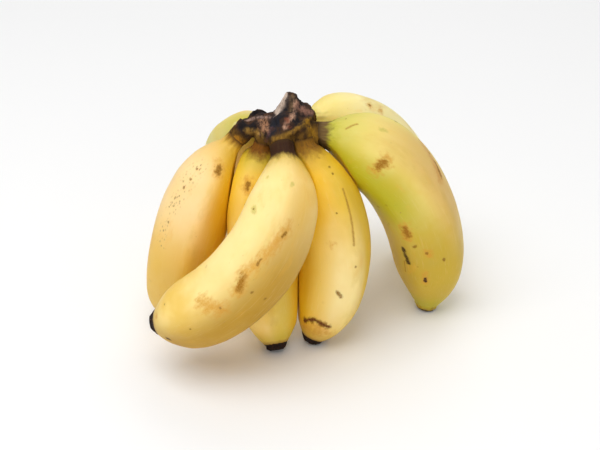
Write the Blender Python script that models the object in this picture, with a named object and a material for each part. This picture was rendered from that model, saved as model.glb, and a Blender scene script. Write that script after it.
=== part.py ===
"""A hand of seven short bananas that stand on their tips under one dried crown.

Lengths are millimetres until a mesh is made, where they become metres.
X runs to the right of the hand, Y away from the viewer and Z up.
"""

import math

import bmesh
import bpy
import numpy as np
from mathutils import Matrix, Vector

MM = 0.001
MIDDLE = np.array([2.89, 3.05, 0.0])  # taken off every point, so that the hand is centred on the origin
SEAT_GAP = 0.3  # between the neck of a finger and its stub on the crown
PRESS_GAP = 0.5  # between two fingers that press on one another
SIDES = 24  # points round a finger
LINE_POINTS = 160  # points along a centre line, for measuring how deep a point is in a finger
RIDGE = 0.026  # height of the five soft ridges, as a share of the radius

# Each finger is a cubic curve from root to tip, pulled by the two points a and b.
# girth is its radius, turn rolls its ridges, and shoulder stretches the first third of the profile.
# neck is the least radius at the root, where it is thicker than the profile makes it.
FINGERS = {
    "finger_front": dict(
        root=(-8, -13, 98), a=(1.5, -59, 71), b=(-37.5, -53, 32), tip=(-66, -43, 25),
        girth=17.4, turn=20, shoulder=1.22, neck=4.4),
    "finger_middle": dict(
        root=(-16, -6, 97), a=(-22, -9, 70.5), b=(-15.5, -16, 25.7), tip=(-10.7, -31.5, 1.2),
        girth=15.6, turn=0, shoulder=0.8, neck=0),
    "finger_front_right": dict(
        root=(0.3, -8, 99), a=(7, -19, 73), b=(29, -16.5, 54), tip=(4.9, -23.5, 0.9),
        girth=16.5, turn=0, shoulder=0.8, neck=4.6),
    "finger_right": dict(
        root=(8.5, -2, 96.8), a=(44, -5, 98.5), b=(69.4, 10, 43.4), tip=(61, 5.5, 0.3),
        girth=17.9, turn=0, shoulder=0.76, neck=6.4),
    "finger_back_right": dict(
        root=(4, 13, 99), a=(30, 42, 87.6), b=(59, 54, 52), tip=(60, 50, -0.1),
        girth=17.0, turn=0, shoulder=0.93, neck=0),
    "finger_back_left": dict(
        root=(-20, 11, 97), a=(-28, 32.5, 79), b=(-36, 63.5, 44), tip=(-34, 58, 0.1),
        girth=16.8, turn=0, shoulder=1.15, neck=0),
    "finger_left": dict(
        root=(-28, -3, 97), a=(-57.5, -12, 65), b=(-53.5, -6, 22), tip=(-62, -6, 0.7),
        girth=16.6, turn=0, shoulder=1.18, neck=0),
}
STANDING = [name for name in FINGERS if name != "finger_front"]

# How thick a finger is along its length: share of the length, share of the girth.
PROFILE = [
    (0.0, 0.27), (0.03, 0.29), (0.08, 0.50), (0.14, 0.73), (0.22, 0.90), (0.34, 0.98), (0.46, 1.0), (0.58, 1.0),
    (0.70, 0.98), (0.78, 0.935), (0.84, 0.85), (0.88, 0.745), (0.915, 0.625), (0.945, 0.49), (0.965, 0.385),
    (0.978, 0.315), (0.99, 0.28), (1.0, 0.21),
]
FIRST_THIRD = 0.34
NECK_BLEND = 0.2  # share of the length over which a thick neck runs out
NECK_END = 0.055  # share of the length that is dry brown neck
TIP_START = 0.965  # share of the length where the dark blossom end starts
RING_PLACES = [
    0, 0.02, 0.04, 0.06, 0.085, 0.11, 0.14, 0.175, 0.215, 0.26, 0.31, 0.365, 0.42, 0.48, 0.54, 0.60, 0.655, 0.705,
    0.75, 0.79, 0.825, 0.86, 0.89, 0.915, 0.94, 0.96, 0.975, 0.99, 1.0,
]

# Lumps of the crown: centre and half widths.
LUMPS = [
    ((-23.5, 0, 100.2), (5.6, 7, 3.6)),
    ((-16.5, 1, 101.2), (8.5, 8.5, 4.3)),
    ((-10, 0, 101.6), (9, 9, 5.6)),
    ((-2.5, 2, 104.2), (8.6, 9.5, 7.4)),
    ((1.2, 3, 106.2), (4.6, 7, 4.6)),
    ((-6.5, -7, 103), (8.2, 7.2, 4.4)),
    ((-5, -4.5, 105.5), (7, 7, 5)),
]
# The thick lip along the lower front edge of the crown, from left to right, and its radius.
LIP = [(-13.2, -12, 101.3), (-8.8, -13.8, 102.6), (-4, -13.2, 104.2), (0, -10.8, 106.2), (3.5, -6, 107.4), (4.9, -1, 108)]
LIP_RADIUS = 1.5
# The peaked knob that was sawn off the stalk: from, to, and its radius at both ends.
KNOB = ((-4.0, 2.5, 102), (-4.6, 4, 114.2), 10.2, 3.2)
SAWN_POINT = (-10.0, 3, 109.5)
SAWN_NORMAL = (-0.83, -0.10, 0.53)
STUB_LENGTH = 7.5
STUB_MARGIN = 0.2  # by which a stub is wider than the neck it carries
STUB_SPREAD = 0.3  # by which it widens into the crown
CROWN_GRAIN = 1.45  # size of the cells that the lumps are melted together with

COLOURS = {
    "crown": (0.055, 0.033, 0.020), "neck": (0.17, 0.095, 0.045), "blossom": (0.030, 0.017, 0.010),
    "finger_front": (0.90, 0.63, 0.22), "finger_middle": (0.84, 0.56, 0.15), "finger_front_right": (0.87, 0.60, 0.18),
    "finger_right": (0.72, 0.62, 0.13), "finger_back_right": (0.90, 0.72, 0.25),
    "finger_back_left": (0.78, 0.68, 0.20), "finger_left": (0.92, 0.62, 0.20),
}


def smooth_through(stations, place):
    """A curve without overshoot through the stations, read at the given places."""
    x, y = (np.array(column, float) for column in zip(*stations))
    width = np.diff(x)
    slope = np.diff(y) / width
    both = slope[:-1] * slope[1:]
    lean = np.empty_like(y)
    lean[0], lean[-1] = slope[0], slope[-1]
    lean[1:-1] = np.where(both > 0, 2 * both / (slope[:-1] + slope[1:] + 1e-12), 0)
    place = np.clip(np.asarray(place, float), x[0], x[-1])
    i = np.clip(np.searchsorted(x, place, side="right") - 1, 0, len(width) - 1)
    u = (place - x[i]) / width[i]
    start = (1 + 2 * u) * (1 - u) ** 2 * y[i] + u * (1 - u) ** 2 * width[i] * lean[i]
    end = u * u * (3 - 2 * u) * y[i + 1] + u * u * (u - 1) * width[i] * lean[i + 1]
    return start + end


def radius_at(finger, place):
    """Radius at a share of the length, with the shoulder stretched or drawn in."""
    place = np.asarray(place, float)
    bend = FIRST_THIRD * finger["shoulder"]
    near = place / finger["shoulder"]
    far = FIRST_THIRD + (place - bend) * (1 - FIRST_THIRD) / (1 - bend)
    slim = finger["girth"] * smooth_through(PROFILE, np.where(place < bend, near, far))
    thick = finger["neck"] * np.clip(1 - (place / NECK_BLEND) ** 2, 0, 1)
    return (slim ** 4 + thick ** 4) ** 0.25


def centre_line(finger, places):
    """Points and directions of the middle of a finger at shares of its length."""
    root, a, b, tip = (np.array(finger[key], float) for key in ("root", "a", "b", "tip"))
    u = np.linspace(0, 1, 400)[:, None]
    curve = (1 - u) ** 3 * root + 3 * u * (1 - u) ** 2 * a + 3 * u * u * (1 - u) * b + u ** 3 * tip
    walked = np.r_[0, np.cumsum(np.linalg.norm(np.diff(curve, axis=0), axis=1))]
    v = np.interp(np.asarray(places) * walked[-1], walked, u[:, 0])[:, None]
    point = (1 - v) ** 3 * root + 3 * v * (1 - v) ** 2 * a + 3 * v * v * (1 - v) * b + v ** 3 * tip
    ahead = (1 - v) ** 2 * (a - root) + 2 * v * (1 - v) * (b - a) + v * v * (tip - b)
    return point, ahead / np.linalg.norm(ahead, axis=1)[:, None]


def side_vectors(ahead):
    """One vector across the finger at each ring, turned as little as possible from ring to ring."""
    level = np.cross(ahead[0], [0, 0, 1.0])
    if np.linalg.norm(level) < 0.2:
        level = np.cross(ahead[0], [0, 1.0, 0])
    across = np.empty_like(ahead)
    for i, direction in enumerate(ahead):
        level = level - direction * (level @ direction)
        level = level / np.linalg.norm(level)
        across[i] = level
    return across


def depth_in(finger, points):
    """How deep points lie under the round skin of a finger; below zero is outside."""
    places = np.linspace(0, 1, LINE_POINTS)
    line, _ = centre_line(finger, places)
    away = np.linalg.norm(points[:, None] - line[None], axis=2) - radius_at(finger, places)[None]
    return -away.min(axis=1)


def pressed(name, centres, outward, reach):
    """The reach of each point, drawn in where a neighbour presses on the finger."""
    for other, neighbour in FINGERS.items():
        if other == name:
            continue
        short, long = reach * 0.35, reach.copy()
        touching = depth_in(neighbour, centres + outward * reach[:, None]) > -PRESS_GAP
        if not touching.any():
            continue
        c, n = centres[touching], outward[touching]
        low, high, full = short[touching], long[touching], reach[touching]
        for _ in range(18):
            middle = (low + high) / 2
            clear = depth_in(neighbour, c + n * middle[:, None]) + PRESS_GAP <= full - middle
            low, high = np.where(clear, middle, low), np.where(clear, high, middle)
        reach = reach.copy()
        reach[touching] = np.minimum(full, low)
    return reach


def finger_rings(name):
    """Points of the skin, ring by ring."""
    finger = FINGERS[name]
    places = np.array(RING_PLACES, float)
    middle, ahead = centre_line(finger, places)
    across = side_vectors(ahead)
    third = np.cross(ahead, across)
    angle = np.arange(SIDES) * 2 * math.pi / SIDES
    ridge = 1 + RIDGE * np.cos(5 * (angle - math.radians(finger["turn"])))
    outward = np.cos(angle)[None, :, None] * across[:, None] + np.sin(angle)[None, :, None] * third[:, None]
    reach = radius_at(finger, places)[:, None] * ridge[None]
    centres = np.repeat(middle[:, None], SIDES, axis=1)
    reach = pressed(name, centres.reshape(-1, 3), outward.reshape(-1, 3), reach.ravel())
    return centres.reshape(-1, 3) + outward.reshape(-1, 3) * reach[:, None]


def material(name, colour, roughness):
    made = bpy.data.materials.new(name)
    made.use_nodes = True
    shader = made.node_tree.nodes["Principled BSDF"]
    shader.inputs["Base Color"].default_value = (*colour, 1)
    shader.inputs["Roughness"].default_value = roughness
    made.diffuse_color = (*colour, 1)
    return made


def new_object(name, mesh):
    """An object whose mesh already holds its place, so all of them sit at the origin."""
    made = bpy.data.objects.new(name, mesh)
    bpy.context.scene.collection.objects.link(made)
    return made


def to_metres(points):
    return [tuple(point) for point in (np.asarray(points) - MIDDLE) * MM]


def stand_flat(mesh):
    """Wears off what would reach below the table, which leaves one flat spot."""
    work = bmesh.new()
    work.from_mesh(mesh)
    everything = work.verts[:] + work.edges[:] + work.faces[:]
    bmesh.ops.bisect_plane(work, geom=everything, plane_co=(0, 0, 0), plane_no=(0, 0, 1), clear_inner=True)
    rim = [edge for edge in work.edges if edge.is_boundary]
    if rim:
        bmesh.ops.holes_fill(work, edges=rim)
    work.to_mesh(mesh)
    work.free()


def finger_object(name):
    rings = len(RING_PLACES)
    skin = finger_rings(name)
    ends, _ = centre_line(FINGERS[name], [0.0, 1.0])
    points = to_metres(np.vstack([skin, ends]))
    root, tip = rings * SIDES, rings * SIDES + 1
    faces, slots = [], []
    for i in range(rings - 1):
        here = (RING_PLACES[i] + RING_PLACES[i + 1]) / 2
        slot = 1 if here < NECK_END else 2 if here > TIP_START else 0
        for k in range(SIDES):
            after = (k + 1) % SIDES
            faces.append((i * SIDES + k, i * SIDES + after, (i + 1) * SIDES + after, (i + 1) * SIDES + k))
            slots.append(slot)
    last = (rings - 1) * SIDES
    for k in range(SIDES):
        after = (k + 1) % SIDES
        faces += [(root, after, k), (tip, last + k, last + after)]
        slots += [1, 2]
    mesh = bpy.data.meshes.new(name)
    mesh.from_pydata(points, [], faces)
    mesh.polygons.foreach_set("material_index", slots)
    if name in STANDING:
        stand_flat(mesh)
    mesh.update()
    made = new_object(name, mesh)
    mesh.materials.append(material(f"{name} peel", COLOURS[name], 0.42))
    mesh.materials.append(material(f"{name} neck", COLOURS["neck"], 0.8))
    mesh.materials.append(material(f"{name} blossom end", COLOURS["blossom"], 0.85))
    outwards(mesh)
    soften(mesh, 50)
    return made


def outwards(mesh):
    work = bmesh.new()
    work.from_mesh(mesh)
    bmesh.ops.recalc_face_normals(work, faces=work.faces[:])
    work.to_mesh(mesh)
    work.free()


def soften(mesh, degrees):
    mesh.shade_smooth()
    mesh.set_sharp_from_angle(angle=math.radians(degrees))


def lump(work, centre, half):
    place = Vector((np.array(centre) - MIDDLE) * MM)
    made = bmesh.ops.create_uvsphere(work, u_segments=28, v_segments=16, radius=1)
    size = Matrix.Diagonal((*(half_width * MM for half_width in half), 1))
    bmesh.ops.transform(work, matrix=Matrix.Translation(place) @ size, verts=made["verts"])
    return made["verts"]


def tube(work, start, end, radius_start, radius_end, segments=20):
    """A closed tapered rod between two points."""
    a, b = (Vector((np.array(point) - MIDDLE) * MM) for point in (start, end))
    turn = (b - a).to_track_quat("Z", "Y").to_matrix().to_4x4()
    place = Matrix.Translation((a + b) / 2) @ turn
    made = bmesh.ops.create_cone(
        work, cap_ends=True, segments=segments, radius1=radius_start * MM, radius2=radius_end * MM,
        depth=(b - a).length, matrix=place)
    return made["verts"]


def knob_mesh():
    """The sawn knob on its own, with its flat sawn side."""
    work = bmesh.new()
    start, end, wide, narrow = KNOB
    tube(work, start, end, wide, narrow, segments=28)
    lump(work, end, (narrow, narrow, narrow * 0.62))
    lump(work, start, (wide, wide, wide * 0.7))
    mesh = bpy.data.meshes.new("knob")
    work.to_mesh(mesh)
    work.free()
    return mesh


def melt(made, grain):
    """Melts overlapping lumps into one skin."""
    change = made.modifiers.new("melt", "REMESH")
    change.mode = "VOXEL"
    change.voxel_size = grain * MM
    apply_changes(made)


def apply_changes(made):
    view = bpy.context.evaluated_depsgraph_get()
    mesh = bpy.data.meshes.new_from_object(made.evaluated_get(view))
    made.modifiers.clear()
    made.data = mesh


def saw(mesh):
    """Cuts the knob flat where it left the stalk."""
    work = bmesh.new()
    work.from_mesh(mesh)
    point = Vector((np.array(SAWN_POINT) - MIDDLE) * MM)
    everything = work.verts[:] + work.edges[:] + work.faces[:]
    bmesh.ops.bisect_plane(work, geom=everything, plane_co=point, plane_no=SAWN_NORMAL, clear_outer=True)
    bmesh.ops.holes_fill(work, edges=[edge for edge in work.edges if edge.is_boundary])
    work.to_mesh(mesh)
    work.free()


def crown_object():
    knob = new_object("knob", knob_mesh())
    melt(knob, CROWN_GRAIN)
    saw(knob.data)
    work = bmesh.new()
    work.from_mesh(knob.data)
    for centre, half in LUMPS:
        lump(work, centre, half)
    for start, end in zip(LIP, LIP[1:]):
        tube(work, start, end, LIP_RADIUS, LIP_RADIUS)
        lump(work, end, (LIP_RADIUS,) * 3)
    for finger in FINGERS.values():
        root, ahead = centre_line(finger, [0.0])
        inner = root[0] - ahead[0] * STUB_LENGTH
        outer = root[0] + ahead[0] * 1.6
        wide = float(radius_at(finger, 0)) + STUB_MARGIN
        tube(work, inner, outer, wide + STUB_SPREAD, wide)
    mesh = bpy.data.meshes.new("crown")
    work.to_mesh(mesh)
    work.free()
    bpy.data.objects.remove(knob)
    made = new_object("crown", mesh)
    melt(made, CROWN_GRAIN)
    for name, finger in FINGERS.items():
        trim_stub(made, name, finger)
    made.data.materials.clear()
    made.data.materials.append(material("dried crown", COLOURS["crown"], 0.85))
    soften(made.data, 50)
    return made


def trim_stub(crown, name, finger):
    """Cuts a stub square, a hair short of its neck, and keeps other stubs off that neck."""
    root, ahead = centre_line(finger, [0.0])
    work = bmesh.new()
    tube(work, root[0] - ahead[0] * SEAT_GAP, root[0] + ahead[0] * 12, float(radius_at(finger, 0)) + 2.4,
         float(radius_at(finger, 0.11)) + 1.2, segments=32)
    mesh = bpy.data.meshes.new(f"{name} cutter")
    work.to_mesh(mesh)
    work.free()
    cutter = new_object(f"{name} cutter", mesh)
    change = crown.modifiers.new("trim", "BOOLEAN")
    change.operation = "DIFFERENCE"
    change.solver = "EXACT"
    change.object = cutter
    apply_changes(crown)
    bpy.data.objects.remove(cutter)


def main():
    for old in list(bpy.data.objects):
        bpy.data.objects.remove(old, do_unlink=True)
    hand = new_object("hand", None)
    crown_object().parent = hand
    for name in FINGERS:
        finger_object(name).parent = hand


main()
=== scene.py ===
# %% [markdown]
# # A hand of seven short bananas
#
# The fruit stands crown up on its blossom ends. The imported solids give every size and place. This script gives the
# fruit its looks: a smoother skin for each finger, its peel with every scar and freckle, and the dried crown.
# Lengths below are millimetres until a mesh is made, where they become metres.

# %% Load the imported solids
import math

import bmesh
import bpy
import numpy as np
from mathutils import Matrix, Vector, noise


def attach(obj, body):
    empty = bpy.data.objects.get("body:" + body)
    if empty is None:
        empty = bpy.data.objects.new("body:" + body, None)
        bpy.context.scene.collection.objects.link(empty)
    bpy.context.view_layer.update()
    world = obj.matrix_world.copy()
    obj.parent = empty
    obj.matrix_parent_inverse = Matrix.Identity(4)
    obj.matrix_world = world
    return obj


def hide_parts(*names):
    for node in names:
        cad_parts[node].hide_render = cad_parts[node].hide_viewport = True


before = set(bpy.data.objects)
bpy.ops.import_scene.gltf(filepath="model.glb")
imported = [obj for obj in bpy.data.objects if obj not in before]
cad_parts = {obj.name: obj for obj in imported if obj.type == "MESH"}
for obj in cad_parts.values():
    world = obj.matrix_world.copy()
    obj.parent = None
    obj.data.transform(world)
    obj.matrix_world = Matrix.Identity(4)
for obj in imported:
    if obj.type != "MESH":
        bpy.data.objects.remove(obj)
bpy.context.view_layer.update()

MM = 0.001
MIDDLE = np.array([2.89, 3.05, 0.0])  # taken off every point, as in the solids
print("nodes:", ", ".join(sorted(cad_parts)))

# %% [markdown]
# ## The fingers as curves
#
# A banana is a bent, swollen tube. It could be sculpted, but a curve with a list of girths is easier to steer: four
# points bend the curve, and one profile swells it. The values are those of the solids, so the skin fits them.

# %% The seven curves and their shared profile
FINGERS = {
    "finger_front": dict(
        root=(-8, -13, 98), a=(1.5, -59, 71), b=(-37.5, -53, 32), tip=(-66, -43, 25),
        girth=17.4, shoulder=1.22, neck=4.4),
    "finger_middle": dict(
        root=(-16, -6, 97), a=(-22, -9, 70.5), b=(-15.5, -16, 25.7), tip=(-10.7, -31.5, 1.2),
        girth=15.6, shoulder=0.8, neck=0),
    "finger_front_right": dict(
        root=(0.3, -8, 99), a=(7, -19, 73), b=(29, -16.5, 54), tip=(4.9, -23.5, 0.9),
        girth=16.5, shoulder=0.8, neck=4.6),
    "finger_right": dict(
        root=(8.5, -2, 96.8), a=(44, -5, 98.5), b=(69.4, 10, 43.4), tip=(61, 5.5, 0.3),
        girth=17.9, shoulder=0.76, neck=6.4),
    "finger_back_right": dict(
        root=(4, 13, 99), a=(30, 42, 87.6), b=(59, 54, 52), tip=(60, 50, -0.1),
        girth=17.0, shoulder=0.93, neck=0),
    "finger_back_left": dict(
        root=(-20, 11, 97), a=(-28, 32.5, 79), b=(-36, 63.5, 44), tip=(-34, 58, 0.1),
        girth=16.8, shoulder=1.15, neck=0),
    "finger_left": dict(
        root=(-28, -3, 97), a=(-57.5, -12, 65), b=(-53.5, -6, 22), tip=(-62, -6, 0.7),
        girth=16.6, shoulder=1.18, neck=0),
}
PROFILE = [
    (0.0, 0.27), (0.03, 0.29), (0.08, 0.50), (0.14, 0.73), (0.22, 0.90), (0.34, 0.98), (0.46, 1.0), (0.58, 1.0),
    (0.70, 0.98), (0.78, 0.935), (0.84, 0.85), (0.88, 0.745), (0.915, 0.625), (0.945, 0.49), (0.965, 0.385),
    (0.978, 0.315), (0.99, 0.28), (1.0, 0.21),
]
FIRST_THIRD = 0.34  # the share of the length over which a shoulder is stretched or drawn in
NECK_BLEND = 0.2  # the share over which a thick neck melts into the finger
CURVE_STEPS = 400


def smooth_through(stations, place):
    """A curve without overshoot through the stations, read at the given places."""
    x, y = (np.array(column, float) for column in zip(*stations))
    width = np.diff(x)
    slope = np.diff(y) / width
    both = slope[:-1] * slope[1:]
    lean = np.empty_like(y)
    lean[0], lean[-1] = slope[0], slope[-1]
    lean[1:-1] = np.where(both > 0, 2 * both / (slope[:-1] + slope[1:] + 1e-12), 0)
    place = np.clip(np.asarray(place, float), x[0], x[-1])
    i = np.clip(np.searchsorted(x, place, side="right") - 1, 0, len(width) - 1)
    u = (place - x[i]) / width[i]
    start = (1 + 2 * u) * (1 - u) ** 2 * y[i] + u * (1 - u) ** 2 * width[i] * lean[i]
    end = u * u * (3 - 2 * u) * y[i + 1] + u * u * (u - 1) * width[i] * lean[i + 1]
    return start + end


def radius_at(finger, place):
    """Radius at a share of the length, with the shoulder stretched or drawn in."""
    place = np.asarray(place, float)
    bend = FIRST_THIRD * finger["shoulder"]
    near = place / finger["shoulder"]
    far = FIRST_THIRD + (place - bend) * (1 - FIRST_THIRD) / (1 - bend)
    slim = finger["girth"] * smooth_through(PROFILE, np.where(place < bend, near, far))
    thick = finger["neck"] * np.clip(1 - (place / NECK_BLEND) ** 2, 0, 1)
    return (slim ** 4 + thick ** 4) ** 0.25


def centre_line(finger, places):
    """Points, directions and length of the middle of a finger at shares of its length."""
    root, a, b, tip = (np.array(finger[key], float) for key in ("root", "a", "b", "tip"))
    u = np.linspace(0, 1, CURVE_STEPS)[:, None]
    curve = (1 - u) ** 3 * root + 3 * u * (1 - u) ** 2 * a + 3 * u * u * (1 - u) * b + u ** 3 * tip
    walked = np.r_[0, np.cumsum(np.linalg.norm(np.diff(curve, axis=0), axis=1))]
    v = np.interp(np.asarray(places) * walked[-1], walked, u[:, 0])[:, None]
    point = (1 - v) ** 3 * root + 3 * v * (1 - v) ** 2 * a + 3 * v * v * (1 - v) * b + v ** 3 * tip
    ahead = (1 - v) ** 2 * (a - root) + 2 * v * (1 - v) * (b - a) + v * v * (tip - b)
    return point, ahead / np.linalg.norm(ahead, axis=1)[:, None], walked[-1]


for name, finger in FINGERS.items():
    print(f"{name}: {centre_line(finger, [0.0])[2]:.0f} mm along its curve, {2 * finger['girth']:.0f} mm thick")

# %% [markdown]
# ## Where the viewer stands
#
# The picture was taken from about 30 degrees above the table with a fairly long lens. The camera is set up before
# anything is dressed, because each ridge and scar is named by where it shows in the picture and has to be found on
# the fruit.

# %% Camera, and a way from the picture back to the fruit
PICTURE = (600, 450)
LENS = 85.0
SENSOR = 36.0
TILT = math.radians(30)
AWAY = 661.6  # from the eye to the aim
AIM = np.array([0.0, 0.0, 50.0])
HIDDEN = 1000  # added to a point that faces away, so that it is never the nearest
FORWARD = np.array([0, math.cos(TILT), -math.sin(TILT)])
UPWARD = np.array([0, math.sin(TILT), math.cos(TILT)])
EYE = AIM - FORWARD * AWAY


def to_metres(points):
    return (np.asarray(points, float) - MIDDLE) * MM


def add_camera():
    data = bpy.data.cameras.new("viewer")
    data.lens, data.sensor_width = LENS, SENSOR
    data.clip_start, data.clip_end = 0.05, 20
    made = bpy.data.objects.new("viewer", data)
    made.location = to_metres(EYE)
    made.rotation_euler = (math.pi / 2 - TILT, 0, 0)
    bpy.context.scene.collection.objects.link(made)
    bpy.context.scene.camera = made


def seen_at(place, points, normals, reach=1.5):
    """Which of the points shows at this place of the picture: the nearest to the viewer of those close to it."""
    ray = points - EYE
    depth = ray @ FORWARD
    scale = LENS / SENSOR * PICTURE[0] / depth
    off_x = PICTURE[0] / 2 + ray[:, 0] * scale - place[0]
    off_y = PICTURE[1] / 2 - (ray @ UPWARD) * scale - place[1]
    off = np.hypot(off_x, off_y) + np.where((ray * normals).sum(1) < 0, 0, HIDDEN)
    close = off < max(reach, off.min() + 0.01)
    return np.where(close, depth, np.inf).argmin()


add_camera()
print("the viewer's eye is at", to_metres(EYE).round(3))

# %% [markdown]
# ## A finger pulled straight
#
# Rings of points follow each curve. Every point also keeps where it would lie if the finger were pulled straight.
# The finishes are laid out on that straight finger, so a scar can be given a length and a width in millimetres and
# the fibres run the right way. The alternative, unwrapping the peel onto a flat map, would leave a seam.

# %% Rings of points round each curve
SIDES = 120
# closer together at the neck and the blossom end, where the shape changes fast
RING_PLACES = np.concatenate([
    np.linspace(0, 0.12, 40), np.linspace(0.12, 0.90, 120)[1:], np.linspace(0.90, 1.0, 56)[1:]])
ANGLES = np.arange(SIDES) * 2 * math.pi / SIDES


def side_vectors(ahead):
    """One vector across the finger at each ring, turned as little as possible from ring to ring."""
    level = np.cross(ahead[0], [0, 0, 1.0])
    if np.linalg.norm(level) < 0.2:
        level = np.cross(ahead[0], [0, 1.0, 0])
    across = np.empty_like(ahead)
    for i, direction in enumerate(ahead):
        level = level - direction * (level @ direction)
        level = level / np.linalg.norm(level)
        across[i] = level
    return across


def round_finger(name):
    """The plain round finger: for every point its centre, direction outwards, radius, share and straight place."""
    finger = FINGERS[name]
    middle, ahead, length = centre_line(finger, RING_PLACES)
    across = side_vectors(ahead)
    third = np.cross(ahead, across)
    outward = np.cos(ANGLES)[None, :, None] * across[:, None] + np.sin(ANGLES)[None, :, None] * third[:, None]
    radius = np.repeat(radius_at(finger, RING_PLACES), SIDES)
    share = np.repeat(RING_PLACES, SIDES)
    angle = np.tile(ANGLES, len(RING_PLACES))
    straight = np.stack([np.cos(angle) * radius, np.sin(angle) * radius, share * length], axis=1)
    return dict(centre=np.repeat(middle, SIDES, axis=0), outward=outward.reshape(-1, 3), radius=radius, share=share,
                angle=angle, straight=straight, end=middle[-1], last=ahead[-1])


fruit = {name: round_finger(name) for name in FINGERS}
print("points in one skin:", len(fruit["finger_front"]["radius"]))

# %% [markdown]
# ## Fingers that press on one another
#
# Fruit that grows crowded flattens where it touches. Each point of a skin is drawn in towards its own middle until
# it lies no deeper in the neighbour than in its own finger, which puts both skins on one shared, gently curved wall.

# %% Draw the skin in where a neighbour presses
LINE_POINTS = 160
PRESS_GAP = 0.3  # left between two skins
LEAST_REACH = 0.35  # no point is drawn in further than to this share
HALVINGS = 16


def depth_in(finger, points):
    """How deep points lie under the round skin of a finger; below zero is outside."""
    places = np.linspace(0, 1, LINE_POINTS)
    line = centre_line(finger, places)[0]
    squared = (points ** 2).sum(1)[:, None] + (line ** 2).sum(1)[None] - 2 * points @ line.T
    away = np.sqrt(np.maximum(squared, 0)) - radius_at(finger, places)[None]
    return -away.min(axis=1)


def pressed(name, centre, outward, reach):
    """The reach of each point, drawn in where a neighbour presses on the finger."""
    for other, neighbour in FINGERS.items():
        if other == name:
            continue
        touching = depth_in(neighbour, centre + outward * reach[:, None]) > -PRESS_GAP
        if not touching.any():
            continue
        c, n, full = centre[touching], outward[touching], reach[touching]
        low, high = full * LEAST_REACH, full.copy()
        for _ in range(HALVINGS):
            middle = (low + high) / 2
            clear = depth_in(neighbour, c + n * middle[:, None]) + PRESS_GAP <= full - middle
            low, high = np.where(clear, middle, low), np.where(clear, high, middle)
        reach = reach.copy()
        reach[touching] = low
    return reach


# %% [markdown]
# ## Ridges, furrows and blossom ends
#
# Five soft ridges run along a banana, none as strong as the next, and they fade at both ends. One ridge of each
# finger is turned to where the picture shows it. The neck is furrowed, and the blossom end is a short rough stump.
# All of this is shape rather than bump, because it shows in the outline.

# %% Shape each skin
RIDGE_HEIGHTS = (0.044, 0.024, 0.036, 0.022, 0.032)  # as shares of the finger's thickness
RIDGE_WIDTH = 0.30  # radians
BODY_START, BODY_END = (0.05, 0.22), (0.86, 0.96)  # shares of the length where the ridges fade in and out
NECK_END, STUMP_START = (0.03, 0.085), (0.962, 0.975)
FAR_FROM_ALL = 30  # millimetres, beyond which a neighbour no longer matters
# a place of the picture that lies on the finger's strongest ridge
RIDGE_PLACES = {
    "finger_front": (262, 262), "finger_middle": (275, 320), "finger_front_right": (351, 218),
    "finger_right": (436, 190), "finger_back_right": (365, 100), "finger_back_left": (224, 124),
    "finger_left": (203, 212),
}


def soft_noise(points, size, seed):
    """Smooth noise from about -1 to 1 that changes over the given size in millimetres."""
    shift = Vector((seed * 17.3, seed * 5.1, seed * 9.7))
    return np.array([noise.noise(Vector(p) / size + shift) for p in points])


def fade(value, low, high):
    t = np.clip((value - low) / (high - low), 0, 1)
    return t * t * (3 - 2 * t)


def ridge_shape(angle, turn):
    """How high the five ridges stand round a finger, as a share of its radius."""
    swell = np.zeros_like(angle)
    for k, height in enumerate(RIDGE_HEIGHTS):
        away = np.angle(np.exp(1j * (angle - turn - k * 2 * math.pi / 5)))
        swell += height * 2 * np.exp(-((away / RIDGE_WIDTH) ** 2))
    return swell - swell.mean()


def shape_skin(name, seed):
    part = fruit[name]
    share, flat, centre, outward = part["share"], part["straight"], part["centre"], part["outward"]
    strongest = seen_at(RIDGE_PLACES[name], centre + outward * part["radius"][:, None], outward)
    ridges = ridge_shape(part["angle"], part["angle"][strongest])
    body = fade(share, *BODY_START) * (1 - fade(share, *BODY_END))
    uneven = soft_noise(flat, 22.0, seed) * 0.35 + soft_noise(flat, 7.0, seed + 3) * 0.07
    furrows = soft_noise(flat * [1, 1, 0.16], 1.5, seed + 5) * 0.4 * (1 - fade(share, *NECK_END))
    stump = soft_noise(flat, 1.9, seed + 7) * 0.6 * fade(share, *STUMP_START)
    reach = part["radius"] * (1 + ridges * body) + uneven * body + furrows + stump
    part["skin"] = centre + outward * pressed(name, centre, outward, reach)[:, None]
    part["ridge"] = fade(ridges, 0.01, 0.055) * body
    others = [depth_in(neighbour, part["skin"]) for other, neighbour in FINGERS.items() if other != name]
    part["apart"] = np.clip(-np.max(others, axis=0), 0, FAR_FROM_ALL)


for seed, name in enumerate(FINGERS):
    shape_skin(name, seed)
    print(f"{name}: {int((fruit[name]['apart'] < 1).sum())} points touch a neighbour")

# %% [markdown]
# ## From points to a mesh
#
# The rings are joined by four-sided faces, and a fan closes each end. The tip's fan dips inwards, because the dried
# flower leaves a small hollow. Where a blossom end would reach through the table it is worn flat, as in the solids.

# %% Build each finger's mesh and let it stand for its solid
TIP_HOLLOW = 0.9  # how deep the middle of the blossom end lies
SLOTS = {name: "ripe_peel" for name in FINGERS}
SLOTS["finger_right"] = SLOTS["finger_back_left"] = "half_ripe_peel"


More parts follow.
